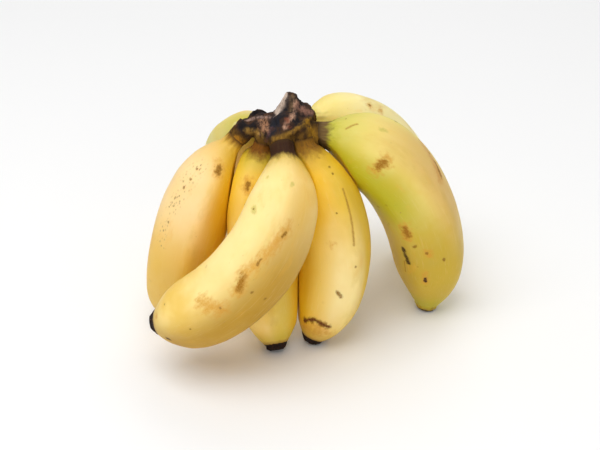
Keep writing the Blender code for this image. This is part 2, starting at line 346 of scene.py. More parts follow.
def finger_mesh(name):
    part = fruit[name]
    rings = len(RING_PLACES)
    ends = [part["centre"][0], part["end"] - part["last"] * TIP_HOLLOW]
    points = np.vstack([part["skin"], ends])
    points[:, 2] = np.maximum(points[:, 2], 0)
    here = np.arange(rings - 1)[:, None] * SIDES
    k = np.arange(SIDES)[None]
    after = (k + 1) % SIDES
    quads = np.stack([here + k, here + after, here + SIDES + after, here + SIDES + k], axis=2).reshape(-1, 4)
    last = (rings - 1) * SIDES
    faces = [tuple(face) for face in quads.tolist()]
    faces += [(rings * SIDES, (j + 1) % SIDES, j) for j in range(SIDES)]
    faces += [(rings * SIDES + 1, last + j, last + (j + 1) % SIDES) for j in range(SIDES)]
    mesh = bpy.data.meshes.new(name + "_skin")
    mesh.from_pydata(to_metres(points).tolist(), [], faces)
    keep(mesh, "straight", np.vstack([part["straight"], [0, 0, 0], [0, 0, part["straight"][-1, 2]]]))
    keep(mesh, "share", np.r_[part["share"], 0, 1])
    keep(mesh, "ridge", np.r_[part["ridge"], 0, 0])
    keep(mesh, "apart", np.r_[part["apart"], FAR_FROM_ALL, FAR_FROM_ALL])
    mesh.shade_smooth()
    return mesh


def keep(mesh, label, values):
    """Lets the mesh keep a number or a vector for each of its points."""
    kind, key = ("FLOAT_VECTOR", "vector") if np.ndim(values) == 2 else ("FLOAT", "value")
    mesh.attributes.new(label, kind, "POINT").data.foreach_set(key, np.ravel(values).astype(np.float32))


def outwards(mesh):
    work = bmesh.new()
    work.from_mesh(mesh)
    bmesh.ops.recalc_face_normals(work, faces=work.faces[:])
    work.to_mesh(mesh)
    work.free()


fingers = {}
for name in FINGERS:
    made = bpy.data.objects.new(name + "_fruit", finger_mesh(name))
    bpy.context.scene.collection.objects.link(made)
    outwards(made.data)
    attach(made, "root")
    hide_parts(name)
    fingers[name] = made
print("faces in one finger:", len(fingers["finger_front"].data.polygons))

# %% [markdown]
# ## Shader sums as plain expressions
#
# A finish is a small sum worked out at every point of the surface. Written out node by node it is hard to read, so
# one class wraps a socket and lets it be added, scaled and mixed like any number in Python.

# %% A value in a finish
SUMS = {"+": "ADD", "-": "SUBTRACT", "*": "MULTIPLY"}


class Value:
    """One number, vector or colour on its way through a finish."""

    def __init__(self, finish, socket):
        self.finish, self.socket = finish, socket

    def sum(self, sign, first, second):
        def is_number(v):
            return v.socket.type == "VALUE" if isinstance(v, Value) else not isinstance(v, tuple)

        if is_number(first) and is_number(second):
            return self.finish.node("ShaderNodeMath", {"operation": SUMS[sign]}, {0: first, 1: second})
        first, second = (v if isinstance(v, (Value, tuple)) else (v, v, v) for v in (first, second))
        return self.finish.node("ShaderNodeVectorMath", {"operation": SUMS[sign]}, {0: first, 1: second})

    def __add__(self, other):
        return self.sum("+", self, other)

    def __radd__(self, other):
        return self.sum("+", other, self)

    def __sub__(self, other):
        return self.sum("-", self, other)

    def __rsub__(self, other):
        return self.sum("-", other, self)

    def __mul__(self, other):
        return self.sum("*", self, other)

    def __rmul__(self, other):
        return self.sum("*", other, self)

    def dot(self, other):
        return self.finish.node("ShaderNodeVectorMath", {"operation": "DOT_PRODUCT"}, {0: self, 1: other}, out=1)

    def length(self):
        return self.finish.node("ShaderNodeVectorMath", {"operation": "LENGTH"}, {0: self}, out=1)

    def unit(self):
        return self.finish.node("ShaderNodeVectorMath", {"operation": "NORMALIZE"}, {0: self})

    def fade(self, low, high):
        """0 up to low, 1 from high on, and smooth between; high may be the smaller."""
        if low > high:
            return 1 - self.fade(high, low)
        return self.finish.node("ShaderNodeMapRange", {"interpolation_type": "SMOOTHSTEP"}, {0: self, 1: low, 2: high})

    def within(self):
        """Kept between 0 and 1."""
        return self.finish.node("ShaderNodeMath", {"operation": "ADD", "use_clamp": True}, {0: self, 1: 0.0})

    def most(self, other):
        return self.finish.node("ShaderNodeMath", {"operation": "MAXIMUM"}, {0: self, 1: other})

    def least(self, other):
        return self.finish.node("ShaderNodeMath", {"operation": "MINIMUM"}, {0: self, 1: other})


# %% A finish with its shader
class Finish:
    """A material with one Principled shader and the values that feed it."""

    def __init__(self, name, colour, roughness):
        self.material = bpy.data.materials.new(name)
        self.material.use_nodes = True
        self.material.diffuse_color = (*colour, 1)
        self.tree = self.material.node_tree
        self.shader = self.tree.nodes["Principled BSDF"]
        self.constant("Base Color", (*colour, 1))
        self.constant("Roughness", roughness)

    def constant(self, socket, value):
        self.shader.inputs[socket].default_value = value

    def feed(self, socket, value):
        self.tree.links.new(value.socket, self.shader.inputs[socket])

    def node(self, kind, settings=None, sockets=None, out=0):
        made = self.tree.nodes.new(kind)
        for key, value in (settings or {}).items():
            setattr(made, key, value)
        for key, value in (sockets or {}).items():
            if isinstance(value, Value):
                self.tree.links.new(value.socket, made.inputs[key])
            else:
                made.inputs[key].default_value = value
        return Value(self, made.outputs[out])

    def kept(self, name, out=2):
        """What the mesh keeps for each point: out 2 for a number, 1 for a vector."""
        return self.node("ShaderNodeAttribute", {"attribute_name": name}, out=out)

    def noise(self, place, scale, detail=2.0, roughness=0.5):
        sockets = {"Vector": place, "Scale": scale, "Detail": detail, "Roughness": roughness}
        return self.node("ShaderNodeTexNoise", sockets=sockets)

    def dots(self, place, scale, size):
        """Round dots, one in each cell of the given scale."""
        return self.node("ShaderNodeTexVoronoi", sockets={"Vector": place, "Scale": scale}).fade(size, size * 0.45)

    def mix(self, first, second, share):
        first, second = (v if isinstance(v, Value) else (*v, 1) for v in (first, second))
        return self.node("ShaderNodeMix", {"data_type": "RGBA"}, {0: share, 6: first, 7: second}, out=2)

    def bump(self, height, strength, distance):
        sockets = {"Strength": strength, "Distance": distance, "Height": height}
        self.feed("Normal", self.node("ShaderNodeBump", sockets=sockets))

    def from_line(self, place, spots):
        """Distance in millimetres from the bent line through the spots."""
        if len(spots) == 1:
            return (place - tuple(spots[0].tolist())).length()
        nearest = None
        for start, end in zip(spots, spots[1:]):
            line = end - start
            step = tuple(line.tolist())
            away = place - tuple(start.tolist())
            share = (away.dot(step) * float(1 / (line @ line))).within()
            scaled = self.node("ShaderNodeVectorMath", {"operation": "SCALE"}, {0: step, "Scale": share})
            off = (away - scaled).length()
            nearest = off if nearest is None else nearest.least(off)
        return nearest


print("finish tools ready")

# %% [markdown]
# ## Scars, bruises and flecks
#
# The main marks that the picture shows are listed by the places they run through, with their widths in
# millimetres. They could be painted by hand, but then they would be tied to one picture size. Here each is the
# distance to a short bent line on the straight finger. Noise eats into that distance, so no mark has a
# compass-drawn edge, and every kind of mark has its own colour and its own softness.

# %% The marks of each finger by kind: width, then the places in the picture that it runs through
MARKS = {
    "finger_left": dict(
        bruise=[(4.5, (220, 165), (219, 173))],
        fleck=[(3.0, (220, 167), (219, 172)), (1.3, (196, 169)), (1.2, (190, 179)), (1.4, (183, 188)),
            (1.3, (174, 197)), (1.0, (168, 207)), (1.0, (168, 223))],
        speckled=[(9.0, (199, 166), (186, 184), (172, 205)), (6.0, (166, 214), (160, 246))]),
    "finger_front": dict(
        bruise=[(4.5, (288, 229), (281, 238), (265, 257), (249, 271)), (5.5, (246, 271), (238, 289)),
            (6.0, (202, 303), (222, 309)), (2.4, (155, 316))],
        rust=[(3.2, (243, 277), (239, 287))],
        fleck=[(1.3, (286, 232), (283, 236)), (1.2, (262, 259), (256, 265)), (0.9, (254, 208)), (1.3, (252, 293)),
            (1.3, (266, 300)), (1.3, (220, 309)), (1.2, (163, 305)), (0.9, (190, 330))],
        green=[(2.6, (254, 206), (253, 211)), (1.8, (267, 177)), (1.8, (293, 184))],
        dark=[(1.9, (166, 339), (170, 341))]),
    "finger_middle": dict(
        bruise=[(5.0, (247, 183), (247, 191))],
        fleck=[(2.2, (247, 185), (247, 189)), (1.2, (245, 205))]),
    "finger_front_right": dict(
        scratch=[(1.2, (344, 189), (351, 216), (354, 246))],
        fleck=[(1.4, (320, 157)), (1.2, (330, 167)), (1.0, (334, 173)), (1.9, (339, 293), (342, 297)),
            (1.1, (357, 267)), (0.8, (336, 214))],
        bruise=[(3.0, (332, 246)), (8.0, (306, 328), (322, 332))],
        rust=[(3.2, (304, 321), (314, 320), (321, 324), (328, 327))],
        burnt=[(2.1, (303, 321), (308, 320), (314, 320), (321, 324), (328, 328))]),
    "finger_right": dict(
        bruise=[(5.5, (375, 171), (387, 161)), (4.7, (405, 226), (407, 240)), (3.4, (426, 253), (428, 256)),
            (3.2, (425, 275), (425, 284)), (5.5, (424, 143), (434, 160), (441, 178))],
        rust=[(3.3, (378, 169), (385, 163)), (3.0, (405, 229), (407, 237)), (2.4, (437, 163), (442, 175))],
        scratch=[(1.1, (346, 128), (357, 123)), (0.9, (404, 262), (405, 272))],
        fleck=[(0.9, (345, 118)), (2.2, (413, 247)), (1.8, (427, 254)), (1.9, (445, 259)), (1.5, (397, 120)),
            (0.9, (417, 268)), (1.2, (430, 152))],
        green=[(2.2, (380, 129), (385, 130))],
        dark=[(2.6, (403, 249), (405, 256), (408, 264)), (1.5, (425, 279), (425, 283))]),
    "finger_back_right": dict(
        bruise=[(3.2, (370, 104)), (3.0, (381, 110))],
        fleck=[(1.2, (370, 104))]),
    "finger_back_left": dict(
        # the pale patch is a painted highlight near the crown
        pale=[(4.5, (236, 125), (237, 131))]),
}
# colour, strength, the shares of the width at which the mark starts and is full, and how ragged it is
KINDS = {
    "green": ((0.48, 0.42, 0.05), 0.55, 0.80, 0.05, 1.9),
    # the pale kind is a painted highlight
    "pale": ((0.97, 0.90, 0.62), 0.60, 0.80, 0.05, 1.9),
    "bruise": ((0.66, 0.31, 0.032), 0.75, 0.85, 0.00, 1.9),
    "speckled": ((0.38, 0.24, 0.09), 0.85, 0.65, 0.15, 1.9),
    "scratch": ((0.38, 0.18, 0.02), 0.70, 0.75, 0.10, 0.9),
    "fleck": ((0.24, 0.105, 0.004), 0.85, 0.70, 0.10, 1.6),
    "rust": ((0.33, 0.135, 0.003), 0.90, 0.80, 0.10, 1.5),
    "burnt": ((0.115, 0.024, 0.002), 0.95, 0.75, 0.15, 1.0),
    "dark": ((0.040, 0.012, 0.001), 0.95, 0.70, 0.15, 1.4),
}
SUNKEN_KINDS = ("fleck", "rust", "burnt", "dark", "scratch")  # these are also sunk in a little, and duller
print("marks listed:", sum(len(listed) for marks in MARKS.values() for listed in marks.values()))

# %% Where a mark lies on the straight finger, and how strongly it shows
SPECKLE_SQUEEZE, SPECKLE_SCALE, SPECKLE_SIZE, SPECKLE_PATCHES = (1.0, 1.0, 0.7), 0.80, 0.42, (-0.11, 0.07)


def skin_spots(name, places):
    part = fruit[name]
    return [part["straight"][seen_at(place, part["skin"], part["outward"])] for place in places]


def kind_mask(finish, name, kind, straight, eaten):
    """1 on the marks of one kind and 0 on clean peel, or None where the finger has none."""
    start, full, ragged = KINDS[kind][2:]
    together = None
    for width, *places in MARKS[name].get(kind, ()):
        off = finish.from_line(straight, skin_spots(name, places)) + eaten * (width * ragged)
        one = off.fade(width * start, width * full)
        together = one if together is None else together.most(one)
    if together is not None and kind == "speckled":
        dots = finish.dots(straight * SPECKLE_SQUEEZE, SPECKLE_SCALE, SPECKLE_SIZE)
        together = together * dots * eaten.fade(*SPECKLE_PATCHES)
    return together


# %% [markdown]
# ## The colours of the peel
#
# Ripe peel is a warm yellow that is never even. It is more orange in patches and duller towards both ends, and one
# finger is still green down one side.
# Painted highlight makes the sides that face the light creamy, and painted shade makes the peel deep gold where
# fingers shade one another and on shaded sides. Each of these is one mask, and the colours are mixed through them one
# after the other.

# %% Each finger's own colours
# painted shade: a deep gold that stands in for the shade where fingers shade one another and on shaded sides
SHADE_GOLD = (0.84, 0.50, 0.008)
ORANGE = (0.86, 0.44, 0.05)
# main and pale colour, how far the painted gold shade spreads from a neighbour, and the duller colour towards both
# ends;
# sides: colour, where that side faces, its spread in degrees, strength, and the shares between which it lies;
# neck: where it ends, how softly, and its colour
LOOKS = {
    "finger_left": dict(
        main=(0.86, 0.53, 0.08), pale=(0.92, 0.63, 0.18), gold=14.0, ends=(0.68, 0.41, 0.04),
        neck=(0.020, 0.026, (0.30, 0.135, 0.010)),
        # the cream side is a painted highlight on the left face that faces the light; the gold side is painted shade
        # towards the front finger
        sides=[((0.98, 0.72, 0.37), (174, 200), 56, 0.95, -0.2, 0.50),
               (SHADE_GOLD, (238, 185), 46, 0.75, 0.1, 0.9),
               ((0.78, 0.50, 0.10), (160, 280), 60, 0.7, 0.55, 1.1)]),
    "finger_front": dict(
        main=(0.86, 0.56, 0.10), pale=(0.97, 0.73, 0.25), gold=6.0, ends=(0.60, 0.40, 0.05),
        # the neck colour is the dry brown neck, darkened further as painted shade where it lies under the crown
        neck=(0.070, 0.026, (0.036, 0.011, 0.003)),
        # the first side is a painted highlight on the lit top; the last side is painted shade on the underside
        sides=[((0.99, 0.80, 0.36), (262, 205), 45, 0.85, -0.2, 0.70),
               ((0.95, 0.62, 0.26), (309, 225), 40, 0.35, 0.05, 0.55),
               ((0.50, 0.27, 0.012), (238, 334), 62, 1.0, 0.40, 1.1)]),
    "finger_middle": dict(
        main=(0.96, 0.65, 0.13), pale=(1.0, 0.72, 0.24), gold=9.0, ends=(0.56, 0.40, 0.02),
        neck=(0.052, 0.030, (0.20, 0.070, 0.003)),
        sides=[((0.66, 0.50, 0.03), (292, 300), 40, 0.6, 0.3, 1.1)]),
    "finger_front_right": dict(
        main=(0.80, 0.51, 0.075), pale=(0.88, 0.60, 0.16), gold=10.0, ends=(0.60, 0.36, 0.02),
        neck=(0.065, 0.040, (0.24, 0.105, 0.006)),
        sides=[((0.80, 0.52, 0.03), (368, 255), 34, 0.7, 0.1, 1.1),
               # the cream side is a painted highlight on the bulge that faces the light; the gold side is painted
               # shade from the front finger
               ((1.0, 0.80, 0.36), (338, 290), 38, 1.0, 0.5, 0.84),
               (SHADE_GOLD, (303, 280), 45, 0.8, 0.1, 1.1)]),
    "finger_right": dict(
        main=(0.79, 0.54, 0.07), pale=(0.88, 0.68, 0.19), gold=0.8, ends=(0.47, 0.45, 0.015),
        neck=(0.036, 0.018, (0.17, 0.10, 0.030)),
        sides=[((0.90, 0.82, 0.27), (365, 118), 60, 0.8, -0.2, 0.35),
               ((0.48, 0.455, 0.001), (338, 163), 52, 1.0, -0.3, 0.52),
               ((0.50, 0.34, 0.02), (425, 275), 75, 0.85, 0.60, 1.1),
               ((0.78, 0.46, 0.15), (447, 190), 30, 0.7, 0.2, 0.6)]),
    "finger_back_right": dict(
        main=(0.92, 0.70, 0.18), pale=(0.99, 0.85, 0.40), gold=5.0, ends=(0.80, 0.62, 0.10),
        neck=(-0.02, 0.02, (0.40, 0.28, 0.05)),
        sides=[((0.99, 0.88, 0.46), (340, 100), 50, 0.8, 0.0, 0.6)]),
    "finger_back_left": dict(
        main=(0.97, 0.71, 0.27), pale=(1.0, 0.82, 0.46), gold=5.0, ends=(0.52, 0.46, 0.03),
        neck=(0.02, 0.03, (0.30, 0.21, 0.02)),
        sides=[((0.55, 0.54, 0.06), (214, 136), 50, 0.6, 0.0, 0.6)]),
}
# where the dark blossom end starts, and its colour
CAPS = {name: (0.966, (0.012, 0.004, 0.002)) for name in FINGERS}
CAPS["finger_right"] = (0.991, (0.050, 0.036, 0.005))
print("sides with a colour of their own:", sum(len(look["sides"]) for look in LOOKS.values()))

# %% A mask for one side of a finger
INNER_SPREAD, OUTER_SPREAD = 0.3, 1.6  # shares of the spread at which a side is full and at which it ends
WIDEST = 175  # degrees


def side_mask(finish, name, round_place, place, spread):
    """1 towards the side of the finger that shows at a place of the picture, and 0 away from it."""
    towards = skin_spots(name, [place])[0] * [1, 1, 0]
    towards = towards / np.linalg.norm(towards)
    facing = round_place.dot(tuple(towards.tolist()))
    ends, full = min(spread * OUTER_SPREAD, WIDEST), spread * INNER_SPREAD
    return facing.fade(math.cos(math.radians(ends)), math.cos(math.radians(full)))


# %% [markdown]
# ## The side that the picture doesn't show
#
# Real fruit is marked all round, so a clean far side would look false when the hand is turned. Listing marks there
# would be guesswork, so a few flecks and long scratches come from cells and noise, and only on that side.

# %% Flecks and scratches on the far side
NEAR_SPREAD = 80  # degrees to each side of the strongest ridge that stay as the picture shows them
FLECK_SCALE, FLECK_RAGGED, FLECK_EDGE = 0.105, 0.25, (0.12, 0.04)
SCRATCH_SQUEEZE, SCRATCH_WAVER, SCRATCH_SCALE, SCRATCH_SIZE = (1.0, 1.0, 0.09), 1.5, 0.13, 0.07
SCRATCH_REGIONS, SCRATCH_PATCHES, SCRATCH_STRENGTH = 0.06, (0.50, 0.56), 0.6


def far_marks(finish, name, straight, round_place, eaten):
    far = 1 - side_mask(finish, name, round_place, RIDGE_PLACES[name], NEAR_SPREAD)
    cells = finish.node("ShaderNodeTexVoronoi", sockets={"Vector": straight, "Scale": FLECK_SCALE})
    flecks = (cells + eaten * FLECK_RAGGED).fade(*FLECK_EDGE)
    scratches = finish.dots(straight * SCRATCH_SQUEEZE + eaten * SCRATCH_WAVER, SCRATCH_SCALE, SCRATCH_SIZE)
    scratches = scratches * finish.noise(straight, SCRATCH_REGIONS).fade(*SCRATCH_PATCHES)
    return (flecks.most(scratches * SCRATCH_STRENGTH) * far).within()


# %% [markdown]
# ## The peel as a finish
#
# The colours are laid on in the order in which they came: ground colour, sides, mottling, flecks, marks, and last
# the dry neck and the blossom end. One long function could hold all of it, but a short one for each layer can be
# read and changed by itself. A pair of numbers says where a texture's patches start and where they are full.

# %% Textures that the whole peel shares
# how much a texture is squeezed along the finger, where less draws it out; its scale, detail and roughness
TEXTURES = {
    "broad": (1.0, 0.045, 3.0, 0.55),
    "patches": (0.45, 0.16, 4.0, 0.6),
    "fibres": (0.07, 1.3, 3.0, 0.6),
    "specks": (1.0, 1.9, 2.0, 0.5),
    "mottle": (0.7, 0.55, 4.0, 0.62),
}


def peel_textures(finish, straight):
    """The textures, in the order of the table."""
    for stretch, *values in TEXTURES.values():
        place = straight if stretch == 1.0 else straight * (1.0, 1.0, stretch)
        yield finish.noise(place, *values)


print("textures:", ", ".join(TEXTURES))

# %% Ground colour, sides, painted highlight and painted shade
CREAM = (0.99, 0.80, 0.42)
DULL_BROWN = (0.60, 0.40, 0.05)
PALE_PATCHES = (0.36, 0.66)
SIDE_LEAST, SIDE_UNEVEN = 0.55, 0.75  # how strong a side's colour is at least, and how much broad patches add
SIDE_START, SIDE_END = (-0.24, 0.12), (0.20, -0.20)  # how softly it starts and ends along the finger
# painted shade: how near to a neighbour the deep gold is full, and how strongly it is mixed in
TOUCH, SHADE_GOLD_STRENGTH = 0.3, 0.85  # the gold shade is full this near to a neighbour
ORANGE_PATCHES, ORANGE_STRENGTH = (0.56, 0.78), 0.30
CREAM_FIBRES, CREAM_STRENGTH = (0.55, 0.75), 0.10
RIDGE_PATCHES, RIDGE_STRENGTH = (0.42, 0.62), 0.22
NECK_SIDE, TIP_SIDE, ENDS_STRENGTH = (0.19, 0.06), (0.88, 0.96), 0.55


def ground_colour(finish, name, round_place, share, broad, patches, fibres):
    look = LOOKS[name]
    ridge, apart = finish.kept("ridge"), finish.kept("apart")
    colour = finish.mix(look["main"], look["pale"], broad.fade(*PALE_PATCHES))
    for side_colour, place, spread, strength, first, last in look["sides"]:
        mask = side_mask(finish, name, round_place, place, spread) * (SIDE_LEAST + broad * SIDE_UNEVEN)
        mask = mask * share.fade(*(first + soft for soft in SIDE_START))
        mask = mask * share.fade(*(last + soft for soft in SIDE_END))
        colour = finish.mix(colour, side_colour, (mask * strength).within())
    # painted shade: deep gold near the neighbouring fingers, standing in for the shade they cast on one another
    colour = finish.mix(colour, SHADE_GOLD, apart.fade(look["gold"], TOUCH) * SHADE_GOLD_STRENGTH)
    colour = finish.mix(colour, ORANGE, patches.fade(*ORANGE_PATCHES) * ORANGE_STRENGTH)
    colour = finish.mix(colour, CREAM, fibres.fade(*CREAM_FIBRES) * CREAM_STRENGTH)
    colour = finish.mix(colour, DULL_BROWN, ridge * patches.fade(*RIDGE_PATCHES) * RIDGE_STRENGTH)
    ends = share.fade(*NECK_SIDE).most(share.fade(*TIP_SIDE))
    return finish.mix(colour, look["ends"], ends * ENDS_STRENGTH)


# %% Freckles, pits and marks
FRECKLE = (0.36, 0.19, 0.05)
FRECKLE_SCALE, FRECKLE_SIZE, FRECKLE_REGIONS, FRECKLE_PATCHES = 0.13, 0.055, 0.05, (0.50, 0.58)
PIT_SQUEEZE, PIT_SCALE, PIT_SIZE, PIT_PATCHES = (1.0, 1.0, 0.6), 0.42, 0.11, (0.50, 0.60)
FRECKLE_STRENGTH, PIT_STRENGTH = 0.75, 0.30
FAR_STRENGTH = 0.7
MARK_LEAST = 0.45  # what is left of a mark where the specks are darkest


def marked(finish, name, colour, straight, round_place, patches, specks, eaten):
    """The colour with its freckles and marks, and how deep they are."""
    freckles = finish.dots(straight, FRECKLE_SCALE, FRECKLE_SIZE)
    freckles = freckles * finish.noise(straight, FRECKLE_REGIONS).fade(*FRECKLE_PATCHES)
    pits = finish.dots(straight * PIT_SQUEEZE, PIT_SCALE, PIT_SIZE) * patches.fade(*PIT_PATCHES)
    colour = finish.mix(colour, FRECKLE, (freckles * FRECKLE_STRENGTH).most(pits * PIT_STRENGTH))
    far = far_marks(finish, name, straight, round_place, eaten)
    colour = finish.mix(colour, KINDS["fleck"][0], far * FAR_STRENGTH)
    depth = freckles
    for kind, (kind_colour, strength, *_) in KINDS.items():
        mask = kind_mask(finish, name, kind, straight, eaten)
        if mask is None:
            continue
        colour = finish.mix(colour, kind_colour, (mask * (MARK_LEAST + specks) * strength).within())
        if kind in SUNKEN_KINDS:
            depth = depth.most(mask)
    return colour, depth


# %% The dry neck and the blossom end
NECK_DARK = (0.055, 0.026, 0.006)
EDGE_SQUEEZE, EDGE_NOISE, EDGE_DEPTH = (1.0, 1.0, 0.2), (0.42, 4.0, 0.6), 0.055
NECK_SHARP, TINT_REACH, TINT_STRENGTH = 0.6, 2.4, 0.7  # the first two in softnesses of the neck's edge
DARK_FIBRES, FIBRE_STRENGTH, DARK_START, DARK_STRENGTH = (0.42, 0.66), 0.5, (0.020, 0.0), 0.8
CAP_RAGGED, RIM_RAGGED = 0.012, 1.6
CAP_RIM, RIM_SHARES, RIM_STRENGTH = (0.34, 0.15, 0.03), (0.020, 0.001), 0.65
CAP_SPECK, CAP_SPECKS, CAP_SOFT = (0.08, 0.022, 0.008), (0.55, 0.75), 0.002


def dried_ends(finish, name, colour, straight, share, fibres, specks, eaten):
    """The colour with its neck and blossom end, and where the skin is dry."""
    tint = LOOKS[name]["ends"]
    end, softness, neck_colour = LOOKS[name]["neck"]
    ragged = (finish.noise(straight * EDGE_SQUEEZE, *EDGE_NOISE) - 0.5) * EDGE_DEPTH
    along = share + ragged
    neck = along.fade(end + softness, end - softness * NECK_SHARP)
    colour = finish.mix(colour, tint, along.fade(end + softness * TINT_REACH, end) * TINT_STRENGTH)
    dark = (fibres.fade(*DARK_FIBRES) * FIBRE_STRENGTH).most(share.fade(*DARK_START)) * DARK_STRENGTH
    colour = finish.mix(colour, finish.mix(neck_colour, NECK_DARK, dark), neck)
    cap, cap_colour = CAPS[name]
    torn = eaten * CAP_RAGGED
    rim = (share + torn * RIM_RAGGED).fade(*(cap - reach for reach in RIM_SHARES))
    colour = finish.mix(colour, CAP_RIM, rim * RIM_STRENGTH)
    tip = (share + torn).fade(cap - CAP_SOFT, cap + CAP_SOFT)
    colour = finish.mix(colour, finish.mix(cap_colour, CAP_SPECK, specks.fade(*CAP_SPECKS)), tip)
    return colour, neck.most(tip)


# %% [markdown]
# ## Wax, fibres and a little light inside
#
# Peel shines softly, because its wax is thin and its surface fine-grained. Fibres, specks and patches give the
# bump, marks are sunk in, and dry ends are rough. Modelling such fine grain would take millions of faces. A little
# light passes into the peel, which keeps the shadow edges warm.

# %% The whole peel of one finger
PEEL_ROUGHNESS = 0.42
# roughness of clean peel, and what patches, marks and dry ends add to it
CLEAN_DULL, PATCH_DULL, MARK_DULL, DRY_DULL = 0.38, 0.14, 0.2, 0.34
FIBRE_BUMP, SPECK_BUMP, PATCH_BUMP, MARK_BUMP, DRY_BUMP = 0.30, 0.16, 0.5, 0.5, 1.8
PEEL_BUMP, PEEL_BUMP_DEPTH = 0.35, 0.0006
PEEL_SPECULAR = 0.22
GLOW, GLOW_COLOURS, GLOW_REACH = 0.10, (1.0, 0.5, 0.1), 0.003


def peel_finish(name):
    finish = Finish(name + "_peel", LOOKS[name]["main"], PEEL_ROUGHNESS)
    straight, share = finish.kept("straight", 1), finish.kept("share")
    round_place = (straight * (1.0, 1.0, 0.0)).unit()
    broad, patches, fibres, specks, mottle = peel_textures(finish, straight)
    eaten = mottle - 0.5
    colour = ground_colour(finish, name, round_place, share, broad, patches, fibres)
    colour, depth = marked(finish, name, colour, straight, round_place, patches, specks, eaten)
    colour, dry = dried_ends(finish, name, colour, straight, share, fibres, specks, eaten)
    finish.feed("Base Color", colour)
    dull = CLEAN_DULL + patches * PATCH_DULL + depth * MARK_DULL + dry * DRY_DULL
    finish.feed("Roughness", dull.within())
    height = fibres * FIBRE_BUMP + specks * SPECK_BUMP + patches * PATCH_BUMP - depth * MARK_BUMP
    finish.bump(height + dry * mottle * DRY_BUMP, PEEL_BUMP, PEEL_BUMP_DEPTH)
    finish.constant("Specular IOR Level", PEEL_SPECULAR)
    finish.constant("Subsurface Weight", GLOW)
    finish.constant("Subsurface Radius", GLOW_COLOURS)
    finish.constant("Subsurface Scale", GLOW_REACH)
    return finish.material


for name, made in fingers.items():
    made.data.materials.append(peel_finish(name))
    print(name, "peel has", len(made.data.materials[0].node_tree.nodes), "nodes")

# %% [markdown]
# ## The dried crown
#
# The crown is the cushion that the stalks of the fingers grow out of. It has dried, shrunk and split. Overlapping
# lumps are melted into one skin, as in the solids but finer. The thick lip is the edge of the cut skin, and the knob
# was sawn off the stalk.

# %% Lumps, lip, knob and stubs
LUMPS = [
    ((-23.5, 0, 100.2), (5.6, 7, 3.6)),
    ((-16.5, 1, 101.2), (8.5, 8.5, 4.3)),
    ((-10, 0, 101.6), (9, 9, 5.6)),
    ((-2.5, 2, 104.2), (8.6, 9.5, 7.4)),
    ((1.2, 3, 106.2), (4.6, 7, 4.6)),
    ((-6.5, -7, 103), (8.2, 7.2, 4.4)),
    ((-5, -4.5, 105.5), (7, 7, 5)),
]
LIP = [
    (-13.2, -12, 101.3), (-8.8, -13.8, 102.6), (-4, -13.2, 104.2), (0, -10.8, 106.2), (3.5, -6, 107.4), (4.9, -1, 108),
]
LIP_RADIUS = 1.5
KNOB = ((-4.0, 2.5, 102), (-4.6, 4, 114.2), 10.2, 3.2)
SAWN_POINT = np.array([-10.0, 3, 109.5])
SAWN_NORMAL = np.array([-0.83, -0.10, 0.53])
STUB_LENGTH = 7.5
STUB_PAST_ROOT = 0.4
STUB_MARGIN = 0.4  # how much wider a stub is than its neck
STUB_SPREAD = 0.3
CROWN_GRAIN = 0.55
KNOB_TOP, KNOB_FOOT = 0.62, 0.7  # how tall its rounded ends are, as shares of their width


def lump(work, centre, half):
    made = bmesh.ops.create_uvsphere(work, u_segments=40, v_segments=24, radius=1)
    size = Matrix.Diagonal((*(half_width * MM for half_width in half), 1))
    bmesh.ops.transform(work, matrix=Matrix.Translation(to_metres(centre)) @ size, verts=made["verts"])


def tube(work, start, end, radius_start, radius_end):
    """A closed tapered rod between two points."""
    a, b = Vector(to_metres(start)), Vector(to_metres(end))
    place = Matrix.Translation((a + b) / 2) @ (b - a).to_track_quat("Z", "Y").to_matrix().to_4x4()
    bmesh.ops.create_cone(work, cap_ends=True, segments=32, radius1=radius_start * MM, radius2=radius_end * MM,
                          depth=(b - a).length, matrix=place)


def melted(name, work):
    """One skin round the overlapping closed forms."""
    mesh = bpy.data.meshes.new(name)
    work.to_mesh(mesh)
    work.free()
    made = bpy.data.objects.new(name, mesh)
    bpy.context.scene.collection.objects.link(made)
    change = made.modifiers.new("melt", "REMESH")
    change.mode, change.voxel_size = "VOXEL", CROWN_GRAIN * MM
    made.data = bpy.data.meshes.new_from_object(made.evaluated_get(bpy.context.evaluated_depsgraph_get()))
    made.modifiers.clear()
    return made


# %% Melt the knob, saw it, and melt the rest on
def sawn_knob():
    work = bmesh.new()
    start, end, wide, narrow = KNOB
    tube(work, start, end, wide, narrow)
    lump(work, end, (narrow, narrow, narrow * KNOB_TOP))
    lump(work, start, (wide, wide, wide * KNOB_FOOT))
    made = melted("knob", work)
    work = bmesh.new()
    work.from_mesh(made.data)
    bpy.data.objects.remove(made)
    bmesh.ops.bisect_plane(work, geom=work.verts[:] + work.edges[:] + work.faces[:], plane_co=to_metres(SAWN_POINT),
                           plane_no=SAWN_NORMAL, clear_outer=True)
    bmesh.ops.holes_fill(work, edges=[edge for edge in work.edges if edge.is_boundary])
    return work


work = sawn_knob()
for centre, half in LUMPS:
    lump(work, centre, half)
for start, end in zip(LIP, LIP[1:]):
    tube(work, start, end, LIP_RADIUS, LIP_RADIUS)
    lump(work, end, (LIP_RADIUS,) * 3)
for finger in FINGERS.values():
    root, ahead, _ = centre_line(finger, [0.0])
    wide = float(radius_at(finger, 0)) + STUB_MARGIN
    tube(work, root[0] - ahead[0] * STUB_LENGTH, root[0] + ahead[0] * STUB_PAST_ROOT, wide + STUB_SPREAD, wide)
crown = melted("dried_crown", work)
print("points in the crown:", len(crown.data.vertices))

# %% [markdown]
# ## Wrinkles and the sawn face
#
# Dried tissue shrinks into folds that follow its fibres: up and down on the knob, sideways on the left wing. Noise
# that is drawn out along those two directions moves the points in and out. The knob stays flat where it was sawn,
# and the stubs stay close to the necks they carry. The height of each point is kept, so raised fibres can be pale.

